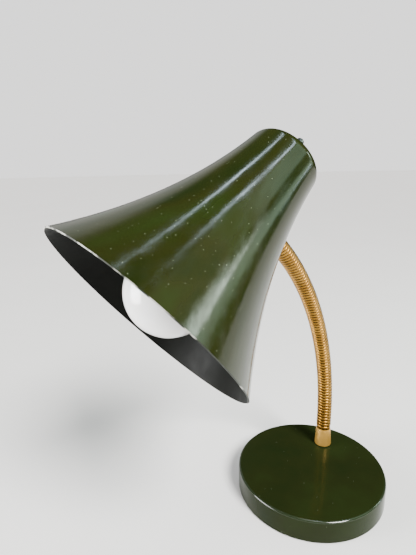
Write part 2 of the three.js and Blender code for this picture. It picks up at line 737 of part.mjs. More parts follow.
// The outer ring nut, with coarse flutes to grip.
function ringNut() {
  const flutes = 20;
  const shape = new THREE.Shape();
  for (let i = 0; i < flutes * 2; i++) {
    const angle = (i * Math.PI) / flutes;
    const radius = i % 2 === 0 ? RING_NUT_RADIUS : RING_NUT_RADIUS - 0.5;
    const draw = i === 0 ? 'moveTo' : 'lineTo';
    shape[draw](radius * Math.cos(angle), radius * Math.sin(angle));
  }
  shape.closePath();
  shape.holes.push(new THREE.Path().absarc(0, 0, TUBE_HOLE_RADIUS, 0, 2 * Math.PI, true));
  const geometry = new THREE.ExtrudeGeometry(shape, { depth: 3, bevelEnabled: false, curveSegments: 16 });
  return tidy(geometry.translate(0, 0, domeTop + GAP));
}

function addHead() {
  const swivel = new THREE.Group();
  swivel.rotation.z = SHADE_SWIVEL;
  nippleFrame.add(swivel);
  const bracketInside = BRACKET_CLAMPED_FACE + BRACKET_THICKNESS;
  const washerFrom = bracketInside + GAP;
  const nutFrom = washerFrom + 1 + GAP;
  const washer = tube(BRACKET_WASHER_RADIUS, TUBE_HOLE_RADIUS, washerFrom, washerFrom + 1, 20);
  swivel.add(
    piece('head_washer', tube(HEAD_WASHER_RADIUS, TUBE_HOLE_RADIUS, -1.6, -0.6, 24), brass),
    piece('bracket', bracket(), steel),
    piece('bracket_washer', washer, steel),
    piece('bracket_nut', hexNut(TUBE_NUT_ACROSS_FLATS, TUBE_HOLE_RADIUS, nutFrom, nutFrom + 4), steel),
  );

  const shadeFrame = new THREE.Group();
  shadeFrame.rotation.x = nippleToShade;
  shadeFrame.position
    .set(0, -entryRadius, -SHADE_ENTRY)
    .applyAxisAngle(new THREE.Vector3(1, 0, 0), nippleToShade);
  swivel.add(shadeFrame);

  const crossTop = BRACKET_CROSS + BRACKET_THICKNESS + GAP;
  const insulatorFrom = 100.6;
  const insulatorTo = 105.4;
  const holderTubeTo = 128;
  const switchNutFrom = SWITCH_BODY_END + 1.6;
  const switchNutTo = switchNutFrom + 2.5;
  const switchWasherFrom = switchNutTo + GAP;
  const contactStrip = new THREE.BoxGeometry(5, 13, 0.6).translate(0, 0, 99.4);
  const holderThread = tube(14.2, 13.6, HOLDER_RIM + 4, insulatorFrom - GAP, 24);
  const holderTube = tube(TUBE_RADIUS, TUBE_BORE_RADIUS, insulatorTo + 1, holderTubeTo, 20);
  const holderNut = hexNut(TUBE_NUT_ACROSS_FLATS, TUBE_HOLE_RADIUS, crossTop, crossTop + 3);
  const switchNut = hexNut(TUBE_NUT_ACROSS_FLATS, TUBE_HOLE_RADIUS, switchNutFrom, switchNutTo);
  const switchWasher = tube(
    SWITCH_WASHER_RADIUS,
    TUBE_HOLE_RADIUS,
    switchWasherFrom,
    switchWasherFrom + 0.8,
    20,
  );
  const leadRadius = 1.1;
  shadeFrame.add(
    piece('shade', shadeShell(), enamel),
    piece('bulb_glass', bulbGlass(), opalGlass),
    piece('bulb_cap', bulbCap(), brass),
    piece('bulb_insulator', bulbInsulator(), blackGlass),
    piece('bulb_contact', bulbContact(), steel),
    piece('lampholder_body', holderBody(), bakelite),
    piece('lampholder_thread', holderThread, brass),
    piece('lampholder_insulator', tube(16.6, 0, insulatorFrom, insulatorTo, 24), ceramic),
    piece('centre_contact', tidy(contactStrip), brass),
    piece('lampholder_tube', holderTube, steel),
    piece('lampholder_nut', holderNut, steel),
    piece('switch_body', switchBody(), bakelite),
    piece('switch_nut', switchNut, steel),
    piece('switch_washer', switchWasher, steel),
    piece('switch_ring_nut', ringNut(), steel),
    piece('push_button', pushButton(), steel),
    piece(
      'live_lead',
      lead(
        leadRadius,
        [
          [1.6, 22.9, 108.9],
          [5, 21.4, 110.5],
          [9, 18.5, 114],
          [10, 13.5, 119],
          [8.6, 7, 126],
          [4.2, 4.4, 131.4],
          [4, 4, 133.2],
        ],
        14,
      ),
      sheathing,
    ),
    piece(
      'neutral_lead',
      lead(
        leadRadius,
        [
          [-1.6, 22.9, 108.9],
          [-5, 21.4, 110.5],
          [-9, 18.5, 114],
          [-10.5, 13, 117],
          [-11, 7, 117],
          [-11, 3.6, 115.5],
          [-11, 3, 113.9],
        ],
        14,
      ),
      sheathing,
    ),
    piece(
      'switched_lead',
      lead(
        leadRadius,
        [
          [-4, -4, 133.2],
          [-4.2, -4.4, 131.4],
          [-7, -8, 126],
          [-11, -10, 120],
          [-10, -8.6, 115.6],
          [-9.4, -7.4, 113.9],
        ],
        12,
      ),
      sheathing,
    ),
  );
}

addBase();
addNeck();
addHead();

export default lamp;
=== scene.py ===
"""The looks of a gooseneck desk lamp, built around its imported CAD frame."""

import json
import math

import bmesh
import bpy
from mathutils import Matrix, Vector


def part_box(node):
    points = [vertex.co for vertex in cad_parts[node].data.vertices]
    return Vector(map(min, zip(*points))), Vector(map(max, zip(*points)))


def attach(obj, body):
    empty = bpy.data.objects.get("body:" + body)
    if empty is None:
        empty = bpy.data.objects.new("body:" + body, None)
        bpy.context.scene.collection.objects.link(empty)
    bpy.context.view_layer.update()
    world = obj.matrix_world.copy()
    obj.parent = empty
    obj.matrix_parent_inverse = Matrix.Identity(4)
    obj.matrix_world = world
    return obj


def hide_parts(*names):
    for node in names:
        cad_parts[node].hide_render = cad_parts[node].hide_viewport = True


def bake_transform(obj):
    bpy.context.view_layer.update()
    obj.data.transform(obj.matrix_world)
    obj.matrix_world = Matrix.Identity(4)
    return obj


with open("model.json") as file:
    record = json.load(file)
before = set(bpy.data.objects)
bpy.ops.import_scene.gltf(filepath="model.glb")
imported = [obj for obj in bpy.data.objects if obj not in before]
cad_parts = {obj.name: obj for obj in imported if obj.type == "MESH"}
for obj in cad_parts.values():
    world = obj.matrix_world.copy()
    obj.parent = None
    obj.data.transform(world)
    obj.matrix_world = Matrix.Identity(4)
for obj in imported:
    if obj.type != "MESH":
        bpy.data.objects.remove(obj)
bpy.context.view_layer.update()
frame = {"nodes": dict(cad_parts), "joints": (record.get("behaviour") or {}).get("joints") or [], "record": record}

# ---- Sizes, in millimetres unless they say otherwise ----------------------------------
MM = 0.001
FIT_GAP = 0.3  # between pieces that touch

BASE_RADIUS = 71
BASE_HEIGHT = 22.5
BASE_FILLET = 2
BASE_WALL = 1.2
BASE_SKIRT_LIFT = 1
BASE_SKIRT_ROUNDING = 0.4
TUBE_HOLE_RADIUS = 5.25

GLAND_HOLE_RADIUS = 4.3
GLAND_BODY_RADIUS = 4
GLAND_BORE_RADIUS = 2.8
GLAND_INNER_END = 62  # from the base's axis
GLAND_FLANGE_RADIUS = 6.2
GLAND_FLANGE_HEIGHT = 3
GLAND_CHAMFER = 0.4
GLAND_ROUNDING = 1.5
GLAND_LIP = 0.6

FERRULE_HEIGHT = 19.5
FERRULE_FOOT_RADIUS = 8.6
FERRULE_FOOT_ROUNDING = 1.5
FERRULE_TOP_RADIUS = 7.2
FERRULE_LIP = ((0.15, 1), (-0.1, 0.2), (-0.5, 0))  # radius past the top's, depth below the top

HEAD_FERRULE_START = -13.8  # along the end of the neck, from the shade's wall
HEAD_FERRULE_END = -1.9
HEAD_FERRULE_RADIUS = 8
HEAD_FERRULE_CHAMFER = 0.5
HEAD_FERRULE_LIP = 0.2
HEAD_FERRULE_LIP_LENGTH = 1

NECK_START = 20.1  # the flexible part starts this far above the base
NECK_STRAIGHT_TOP = 37
NECK_BEND_RADIUS = 246
NECK_TURN = math.radians(52.6)
NECK_KNUCKLES = 8
NECK_CREST_RADIUS = 7.4
NECK_GROOVE_DEPTH = 1.0
NECK_INSIDE_RADIUS = 5.4
RIBS_PER_LINK = 9
HEEL_START = -0.55  # along the flexible part
HEEL_THICKNESS = 0.5
HEEL_INSET = 0.5  # the heel is this much narrower than the crests

SHADE_OPENING_RADIUS = 81.3
SHADE_BODY_LENGTH = 150.4
SHADE_RIM_SLOPE = math.radians(31.4)
SHADE_CAP_SLOPE = math.radians(7.2)
SHADE_CORNER_RADIUS = 8
SHADE_DOME_SLOPE = math.radians(65)
SHADE_WALL = 1
SHADE_ENTRY = 112

BULB_RADIUS = 30
BULB_CENTRE = 24
BULB_WALL = 1
BULB_SHOULDER = math.radians(48)  # the globe ends at this slope
BULB_SHOULDER_LEAD = 7
BULB_THROAT_RADIUS = 15.5
BULB_THROAT_PLACE = 61
BULB_THROAT_LEAD = 8
BULB_THROAT_FLARE = 0.6
BULB_NECK_RADIUS = 12
BULB_SEAT = 4

CAP_START = 70
CAP_END = 93
CAP_RADIUS = 13.1
CAP_WALL = 1.6
CAP_MOUTH_RADIUS = 8
CAP_THREAD_START = 2
CAP_THREAD_PITCH = 3.6
CAP_THREAD_DEPTH = 0.8
CAP_THREAD_TURNS = 4
CAP_COLLAR_START = 0.4
CAP_COLLAR_END = 3
CAP_COLLAR_CHAMFER = 0.6
CAP_COLLAR_TAPER = 0.3
CAP_THROAT_LENGTH = 5.5
CAP_THROAT_INSET = 0.9
CAP_SHOULDER = 2
CAP_LIP = 0.5
CAP_LIP_DROP = 0.3

HOLDER_RADIUS = 19.5
HOLDER_RIM = 74
HOLDER_SHOULDER = 107
HOLDER_BACK = 113.8
HOLDER_WALL = 1.6
HOLDER_RIM_CHAMFER = 0.4
HOLDER_ROUNDING = 2
HOLDER_BOSS_RADIUS = 9
HOLDER_BOSS_STEP = 1
HOLDER_GROOVES = 6
HOLDER_GROOVE_START = 8
HOLDER_GROOVE_PITCH = 3.2
HOLDER_GROOVE_DEPTH = 0.5

BUTTON_RADIUS = 3
BUTTON_TIP = 177
BUTTON_INSIDE = 152
BUTTON_CROWN = 1.8
RING_NUT_RADIUS = 6.8
RING_NUT_HEIGHT = 3
RING_NUT_FOOT_CHAMFER = 0.3
RING_NUT_TOP_CHAMFER = 0.7
RING_NUT_FLUTES = 36
RING_NUT_FLUTE_DEPTH = 0.035  # as a share of the radius

KEPT_BEVEL = 0.2
KEPT_BEVEL_ANGLE = math.radians(40)
KEPT_SPLIT_ANGLE = math.radians(30)
KEPT_WELD = 0.001
FLOOR_RADIUS = 30  # metres

# Sides of the turned pieces
LARGE_SIDES = 192
BULB_SIDES = 128
MEDIUM_SIDES = 96
SMALL_SIDES = 64

CAMERA_PLACE = Vector((0.1100, -0.3567, 0.3116))  # metres
CAMERA_FORWARD = Vector((-0.51883, 0.81754, -0.24988))
CAMERA_UP = Vector((-0.11706, 0.22161, 0.96808))
CAMERA_LENS = 27.24
CAMERA_SENSOR = 36
CAMERA_NEAREST = 0.01  # metres

WALL_SIDE = Vector((-0.72, 0.55, 0.42))  # where the room's one pale wall is
WALL_EDGE = (0.90, 0.99)  # cosines between which it fades into the room
WALL_RADIANCE = 0.75
ROOM_RADIANCE = 0.06
BACKDROP_RADIANCE = 1.66

UP = Vector((0, 0, 1))
BACK = Vector((0, 1, 0))
PALE_RIM_SIDE = Vector((-0.85, -0.53, 0))  # the side towards which the rim is palest


# ---- Places, all from the imported frame ------------------------------------------------
def joint(name):
    return next(j for j in frame["joints"] if j["name"] == name)


def frame_at(origin, z_axis, y_axis):
    """Placement whose Z and Y run along the given directions."""
    z_dir = z_axis.normalized()
    y_dir = (y_axis - y_axis.dot(z_dir) * z_dir).normalized()
    turn = Matrix((y_dir.cross(z_dir), y_dir, z_dir)).transposed()
    return Matrix.Translation(origin) @ turn.to_4x4()


base_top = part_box("base_shell")[1].z
ferrule_low, ferrule_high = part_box("foot_ferrule")
foot_place = Vector(((ferrule_low.x + ferrule_high.x) / 2, (ferrule_low.y + ferrule_high.y) / 2, base_top))
gland_low, gland_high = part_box("cable_gland")
gland_height = (gland_low.z + gland_high.z) / 2

swivel = joint("head_swivel")
entry_place = Vector(swivel["pos_m"])
nipple_axis = Vector(swivel["axis"])
shade_axis = -Vector(joint("button_press")["axis"])
neck_side = Vector(joint("neck_lower_nod")["axis"])
neck_forward = neck_side.cross(UP)

FLARE_RADIUS = SHADE_BODY_LENGTH / (math.sin(SHADE_RIM_SLOPE) - math.sin(SHADE_CAP_SLOPE))


def shade_radius(slope):
    """The shade's outer radius where its wall has this slope."""
    return SHADE_OPENING_RADIUS - FLARE_RADIUS * (math.cos(slope) - math.cos(SHADE_RIM_SLOPE))


entry_slope = math.asin(math.sin(SHADE_RIM_SLOPE) - SHADE_ENTRY / FLARE_RADIUS)
to_entry = -(nipple_axis + shade_axis * math.sin(entry_slope)) / math.cos(entry_slope)
opening_place = entry_place - (shade_axis * SHADE_ENTRY + to_entry * shade_radius(entry_slope)) * MM

BASE = Matrix.Identity(4)
FOOT = Matrix.Translation(foot_place)
GLAND = frame_at(Vector((0, 0, gland_height)), BACK, UP)
NIPPLE = frame_at(entry_place, nipple_axis, UP)
SHADE = frame_at(opening_place, shade_axis, to_entry)
SHADE_MIDDLE = opening_place + shade_axis * (SHADE_BODY_LENGTH / 2) * MM


# ---- Materials ------------------------------------------------------------------------
NOISE_LOW = 0.3  # most of a noise lies between these two
NOISE_HIGH = 0.7
GLOSS_NOISE_HIGH = 0.75
SPECK_CORE = 0.6  # the share of a speck's radius that is solid


def new_node(tree, kind, **settings):
    made = tree.nodes.new(kind)
    for name, value in settings.items():
        setattr(made, name, value)
    return made


def mapped(tree, source, from_range, to_range, **settings):
    """The source's value, moved from one range to the other."""
    made = new_node(tree, "ShaderNodeMapRange", **settings)
    tree.links.new(source, made.inputs["Value"])
    sockets = ("From Min", "From Max", "To Min", "To Max")
    for socket, value in zip(sockets, (*from_range, *to_range)):
        made.inputs[socket].default_value = value
    return made.outputs["Result"]


class Paint:
    """A node material, with short calls for the nodes that the finishes share."""

    def __init__(self, name, roughness, metallic=0.0, **sockets):
        self.material = bpy.data.materials.new(name)
        self.material.use_nodes = True
        self.tree = self.material.node_tree
        self.shader = self.tree.nodes["Principled BSDF"]
        self.shader.inputs["Metallic"].default_value = metallic
        self.shader.inputs["Roughness"].default_value = roughness
        for socket, value in sockets.items():
            self.shader.inputs[socket.replace("_", " ")].default_value = value
        self.place = self.node("ShaderNodeTexCoord").outputs["Object"]

    def node(self, kind, **settings):
        return new_node(self.tree, kind, **settings)

    def link(self, source, target):
        self.tree.links.new(source, target)

    def noise(self, per_metre, detail=4.0, stretch=None, turn=(0, 0, 0)):
        """Soft noise from 0 to 1, with this many cells to the metre, times stretch along each axis."""
        made = self.node("ShaderNodeTexNoise")
        made.inputs["Scale"].default_value = per_metre
        made.inputs["Detail"].default_value = detail
        source = self.place
        if stretch is not None:
            turned_place = self.node("ShaderNodeMapping")
            turned_place.inputs["Rotation"].default_value = turn
            self.link(source, turned_place.inputs["Vector"])
            stretched = self.node("ShaderNodeMapping")
            stretched.inputs["Scale"].default_value = stretch
            self.link(turned_place.outputs["Vector"], stretched.inputs["Vector"])
            source = stretched.outputs["Vector"]
        self.link(source, made.inputs["Vector"])
        return made.outputs["Fac"]

    def ramp(self, source, *stops):
        """Maps 0 to 1 onto the (position, colour or grey) stops."""
        made = self.node("ShaderNodeValToRGB")
        elements = made.color_ramp.elements
        while len(elements) < len(stops):
            elements.new(0.5)
        for element, (position, colour) in zip(elements, stops):
            element.position = position
            grey = isinstance(colour, (int, float))
            element.color = (colour, colour, colour, 1) if grey else (*colour, 1)
        self.link(source, made.inputs["Fac"])
        return made.outputs["Color"]

    def varied(self, source, low, high):
        """From low to high, each a colour or a grey, over most of a noise."""
        return self.ramp(source, (NOISE_LOW, low), (NOISE_HIGH, high))

    def mix(self, share, first, second):
        """first where share is 0 and second, a colour, where it is 1."""
        made = self.node("ShaderNodeMix", data_type="RGBA")
        self.link(share, made.inputs["Factor"])
        self.link(first, made.inputs["A"])
        made.inputs["B"].default_value = (*second, 1)
        return made.outputs["Result"]

    def specks(self, per_metre, size, share):
        """Small round dots: 1 on a dot, 0 off it, on this share of the cells."""
        cells = self.node("ShaderNodeTexVoronoi")
        cells.inputs["Scale"].default_value = per_metre
        self.link(self.place, cells.inputs["Vector"])
        dot = self.ramp(cells.outputs["Distance"], (size * SPECK_CORE, 1.0), (size, 0.0))
        split = self.node("ShaderNodeSeparateColor")
        self.link(cells.outputs["Color"], split.inputs["Color"])
        chosen = self.node("ShaderNodeMath", operation="LESS_THAN")
        chosen.inputs[1].default_value = share
        self.link(split.outputs["Red"], chosen.inputs[0])
        both = self.node("ShaderNodeMath", operation="MULTIPLY")
        self.link(dot, both.inputs[0])
        self.link(chosen.outputs["Value"], both.inputs[1])
        return both.outputs["Value"]

    def bump(self, source, height, strength=1.0):
        """Relief of this height, in metres."""
        made = self.node("ShaderNodeBump")
        made.inputs["Distance"].default_value = height
        made.inputs["Strength"].default_value = strength
        self.link(source, made.inputs["Height"])
        self.link(made.outputs["Normal"], self.shader.inputs["Normal"])

    def colour(self, source):
        self.link(source, self.shader.inputs["Base Color"])

    def roughness(self, source):
        self.link(source, self.shader.inputs["Roughness"])

    def uneven_gloss(self, noise, low, high):
        """Roughness that wanders from low to high."""
        self.roughness(self.ramp(noise, (NOISE_LOW, low), (GLOSS_NOISE_HIGH, high)))


def green_enamel(name, gloss, dust, dark, olive, green, relief=0.00003, wiped_along=None):
    """Dark green enamel with dust. Its sheen is uneven, in streaks along Z of a frame if one is given."""
    paint = Paint(name, 0.2, Specular_IOR_Level=gloss)
    if wiped_along is None:
        patches = paint.noise(22, detail=5)
        sheen = paint.noise(60, detail=6)
    else:
        turn = wiped_along.to_3x3().inverted().to_euler()
        patches = paint.noise(1, detail=5, stretch=(34, 34, 6), turn=turn)
        sheen = paint.noise(1, detail=7, stretch=(190, 190, 9), turn=turn)
    tone = paint.ramp(patches, (0.32, dark), (0.5, olive), (0.68, green))
    specks = paint.specks(per_metre=560, size=0.13, share=dust)
    paint.colour(paint.mix(specks, tone, (0.26, 0.29, 0.21)))
    paint.roughness(paint.varied(sheen, 0.08, 0.20))
    paint.bump(sheen, relief, strength=0.5)
    return paint.material


def inner_enamel_and_painted_shade():
    paint = Paint("inner_enamel_and_painted_shade", 0.4, Specular_IOR_Level=0.04)
    # Nearly black: dark inner enamel, darkened further as painted shade in the lampshade's hollow
    paint.colour(paint.varied(paint.noise(30), (0.0022, 0.0025, 0.002), (0.0045, 0.005, 0.004)))
    paint.roughness(paint.varied(paint.noise(90), 0.34, 0.48))
    paint.bump(paint.noise(500, detail=2), 0.00003, strength=0.4)
    return paint.material


def rim_metal():
    """Dark enamel and pale metal in patches, with more and more pale metal towards one side."""
    paint = Paint("rim_metal", 0.35, Specular_IOR_Level=0.2)
    beside = paint.node("ShaderNodeVectorMath", operation="DOT_PRODUCT")
    paint.link(paint.place, beside.inputs[0])
    beside.inputs[1].default_value = PALE_RIM_SIDE
    middle = PALE_RIM_SIDE.dot(opening_place)
    reach = SHADE_OPENING_RADIUS * MM
    across_rim = (middle - reach, middle + reach)
    least_to_most = (-0.16, 0.14)
    paleness = paint.node("ShaderNodeMath", operation="ADD")
    paint.link(paint.noise(90, detail=8), paleness.inputs[0])
    paint.link(mapped(paint.tree, beside.outputs["Value"], across_rim, least_to_most), paleness.inputs[1])
    enamel = (0.47, (0.010, 0.013, 0.008))
    pale_metal = (0.53, (0.42, 0.42, 0.38))
    paint.colour(paint.ramp(paleness.outputs["Value"], enamel, pale_metal))
    return paint.material


def brass(name, bright, dull, low, high, metallic=1.0):
    """Bright on the crests. The grooves, where the mesh has them, are darkened as painted shade."""
    paint = Paint(name, low, metallic)
    tone = paint.varied(paint.noise(70, detail=6), dull, bright)
    groove = paint.node("ShaderNodeAttribute", attribute_name="groove").outputs["Fac"]
    # Painted shade: a darker colour deep in the grooves
    paint.colour(paint.mix(groove, tone, (0.040, 0.016, 0.004)))
    paint.uneven_gloss(paint.noise(260, detail=5), low, high)
    paint.bump(paint.noise(900, detail=3), 0.00001, strength=0.25)
    return paint.material


def metal(name, bright, dull, low, high):
    paint = Paint(name, low, metallic=1.0)
    paint.colour(paint.varied(paint.noise(180, detail=6), dull, bright))
    paint.uneven_gloss(paint.noise(400, detail=5), low, high)
    paint.bump(paint.noise(1200, detail=3), 0.00002, strength=0.5)
    return paint.material


def moulded(name, light, dark, low, high, grain=700, relief=0.00003):
    paint = Paint(name, low)
    paint.colour(paint.varied(paint.noise(60, detail=5), dark, light))
    paint.uneven_gloss(paint.noise(200), low, high)
    paint.bump(paint.noise(grain), relief, strength=0.6)
    return paint.material


def opal_glass():
    paint = Paint("opal_glass", 0.16, Coat_Weight=0.6, Coat_Roughness=0.04, Subsurface_Weight=0.35)
    paint.shader.inputs["Subsurface Radius"].default_value = (0.012, 0.011, 0.010)
    paint.colour(paint.varied(paint.noise(25), (0.93, 0.915, 0.90), (0.97, 0.96, 0.95)))
    paint.roughness(paint.varied(paint.noise(120), 0.12, 0.2))
    return paint.material


def felt():
    paint = Paint("felt", 0.95, Sheen_Weight=0.5, Sheen_Roughness=0.6)
    paint.colour(paint.varied(paint.noise(900, detail=8), (0.018, 0.032, 0.018), (0.05, 0.08, 0.045)))
    paint.bump(paint.noise(1600, detail=8), 0.0003, strength=0.9)
    return paint.material


INNER = inner_enamel_and_painted_shade()
RIM = rim_metal()
FERRULE_BRASS = brass("ferrule_brass", (0.60, 0.345, 0.070), (0.47, 0.26, 0.045), 0.34, 0.48, metallic=0.6)
EDGE_GREEN = green_enamel(
    "edge_enamel",
    gloss=0.6,
    dust=0.02,
    dark=(0.012, 0.018, 0.008),
    olive=(0.014, 0.021, 0.009),
    green=(0.016, 0.025, 0.010),
)
SHADE_GREEN = green_enamel(
    "shade_enamel",
    gloss=0.34,
    dust=0.15,
    dark=(0.0080, 0.0145, 0.0022),
    # The olive streaks along the shade's axis are partly tone that varies at random, partly a painted reflection
    # of brown wood
    olive=(0.0145, 0.0175, 0.0028),
    green=(0.0140, 0.0235, 0.0038),
    relief=0.0001,
    wiped_along=SHADE,
)
BASE_GREEN = green_enamel(
    "green_enamel",
    gloss=0.08,
    dust=0.02,
    dark=(0.0085, 0.0140, 0.0036),
    olive=(0.0110, 0.0152, 0.0038),
    green=(0.0122, 0.0188, 0.0046),
)
FINISHES = {
    "green_enamel": BASE_GREEN,
    # The neck's brass is darker than the ferrule's: its own colour with painted shade
    "neck_brass": brass("neck_brass", (0.41, 0.215, 0.036), (0.28, 0.135, 0.018), 0.26, 0.38, metallic=0.92),
    "contact_brass": brass("contact_brass", (0.76, 0.60, 0.30), (0.58, 0.43, 0.19), 0.3, 0.45),
    "zinc_steel": metal("zinc_steel", (0.62, 0.62, 0.60), (0.42, 0.42, 0.40), 0.32, 0.5),
    "grey_metal": metal("grey_metal", (0.15, 0.17, 0.165), (0.07, 0.08, 0.08), 0.25, 0.42),
    "cast_iron": moulded("cast_iron", (0.07, 0.07, 0.068), (0.03, 0.03, 0.03), 0.55, 0.8, 500, 0.0003),
    "felt": felt(),
    "black_rubber": moulded("black_rubber", (0.03, 0.03, 0.03), (0.014, 0.014, 0.014), 0.5, 0.7),
    "ceramic": moulded("ceramic", (0.82, 0.78, 0.68), (0.70, 0.66, 0.56), 0.18, 0.35),
    "opal_glass": opal_glass(),
    "black_glass": moulded("black_glass", (0.012, 0.012, 0.015), (0.006, 0.006, 0.008), 0.08, 0.16),
    "black_bakelite": moulded("black_bakelite", (0.03, 0.022, 0.017), (0.013, 0.010, 0.008), 0.18, 0.34),
    "lead_sheath": moulded("lead_sheath", (0.76, 0.71, 0.60), (0.62, 0.57, 0.46), 0.4, 0.6),
}


# ---- Object and mesh helpers ----------------------------------------------------------
def new_object(name, data):
    made = bpy.data.objects.new(name, data)
    bpy.context.scene.collection.objects.link(made)
    return made


def arc(centre_radius, centre_height, radius, start, end, steps):
    """Points of a circular arc in a turning profile, both ends included."""
    points = []
    for i in range(steps + 1):
        angle = start + (end - start) * i / steps
        points.append((centre_radius + radius * math.cos(angle), centre_height + radius * math.sin(angle)))
    return points


def finished(name, mesh_data, place, slot, body, *nodes, crease=35):
    """The piece in its place, smooth but for real edges, riding on its body if one is named."""
    mesh = bpy.data.meshes.new(name)
    mesh_data.transform(place @ Matrix.Scale(MM, 4))
    bmesh.ops.recalc_face_normals(mesh_data, faces=mesh_data.faces)
    mesh_data.to_mesh(mesh)
    mesh_data.free()
    mesh.polygons.foreach_set("use_smooth", [True] * len(mesh.polygons))
    mesh.set_sharp_from_angle(angle=math.radians(crease))
    piece = new_object(name, mesh)
    mesh.materials.append(FINISHES[slot])
    if nodes:
        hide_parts(*nodes)
    if body:
        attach(piece, body)
    return piece


def turned(profile, sides):
    """A solid turned about Z from (radius, height) points. It closes on the axis or on itself."""
    on_axis = 1e-6
    made = bmesh.new()
    rings = []
    for radius, height in profile:
        if radius < on_axis:
            rings.append([made.verts.new((0, 0, height))])
            continue
        turn = [2 * math.pi * i / sides for i in range(sides)]
        rings.append([made.verts.new((radius * math.cos(a), radius * math.sin(a), height)) for a in turn])
    pairs = list(zip(rings, rings[1:]))
    if len(rings[0]) > 1:
        pairs.append((rings[-1], rings[0]))
    for low, high in pairs:
        for i in range(sides):
            k = i + 1
            corners = [low[i % len(low)], low[k % len(low)], high[k % len(high)], high[i % len(high)]]
            made.faces.new(list(dict.fromkeys(corners)))
    return made


def cut(piece, radius, place, low, high, sides=62):
    """Bores a round hole through the piece, along the placement's Z."""
    tool = bpy.data.meshes.new("tool")
    rod = turned([(0, low), (radius, low), (radius, high), (0, high)], sides)
    rod.transform(place @ Matrix.Scale(MM, 4))
    bmesh.ops.recalc_face_normals(rod, faces=rod.faces)
    rod.to_mesh(tool)
    rod.free()
    cutter = new_object("tool", tool)
    boolean = piece.modifiers.new("hole", "BOOLEAN")
    boolean.operation = "DIFFERENCE"
    boolean.object = cutter
    bpy.context.view_layer.update()
    bored = bpy.data.meshes.new_from_object(piece.evaluated_get(bpy.context.evaluated_depsgraph_get()))
    piece.modifiers.clear()
    piece.data = bored
    bpy.data.objects.remove(cutter)


def point_round(line, length, angle, radius):
    """A point this far from a line, at an angle round it. line(length) gives a point, side and normal."""
    centre, side, normal = line(length)
    return centre + (side * math.cos(angle) + normal * math.sin(angle)) * radius


def wound_tube(line, start, pitch, turns, crest, depth, inside, sides=40, samples=8):
    """A closed tube wound along a line from a rounded strip."""
    made = bmesh.new()
    # How deep each vertex lies in a groove; the brass paints shade there
    groove = made.verts.layers.float.new("groove")

    def vertex(length, share, radius):
        added = made.verts.new(point_round(line, length, 2 * math.pi * share, radius))
        added[groove] = min(1.0, max(0.0, (crest - radius) / depth))
        return added

    def skin(rows, per_turn, radius_at):
        """Rows that climb one pitch each turn. Row i's last column is row i + per_turn's first."""
        grid = {}
        for i in range(rows + per_turn + 1):
            for j in range(sides if i <= rows else 1):
                length = start + (i / per_turn + j / sides) * pitch
                grid[i, j] = vertex(length, j / sides, radius_at(i / per_turn))
        for i in range(rows + 1):
            grid[i, sides] = grid[i + per_turn, 0]
        for i in range(rows):
            for j in range(sides):
                made.faces.new((grid[i, j], grid[i, j + 1], grid[i + 1, j + 1], grid[i + 1, j]))
        return grid

    def strip(turn):
        across = 2 * (turn % 1.0) - 1
        return crest - depth * (1 - math.sqrt(max(0.0, 1 - across * across)))

    outer = skin(turns * samples, samples, strip)
    inner = skin(turns, 1, lambda turn: inside)
    for i, k in ((0, 0), (turns * samples, turns)):
        for j in range(sides):
            made.faces.new((outer[i, j], outer[i, j + 1], inner[k, j + 1], inner[k, j]))
        step = [outer[i + n, 0] for n in range(samples + 1)]
        made.faces.new([*step, inner[k + 1, 0], inner[k, 0]])
    return made


def ramp_ring(line, start, thickness, pitch, outside, inside, sides=40):
    """A closed ring with a flat foot. Its top climbs one pitch in almost one turn."""
    share_of_turn = 0.995
    made = bmesh.new()
    columns = []
    for j in range(sides + 1):
        share = j / sides
        angle = 2 * math.pi * share * share_of_turn
        corners = []
        for radius in (outside, inside):
            for length in (start, start + thickness + pitch * share):
                corners.append(made.verts.new(point_round(line, length, angle, radius)))
        columns.append([corners[0], corners[1], corners[3], corners[2]])
    for first, second in zip(columns, columns[1:]):
        for i in range(4):
            k = (i + 1) % 4
            made.faces.new((first[i], first[k], second[k], second[i]))
    made.faces.new(columns[0])
    made.faces.new(columns[-1])
    return made


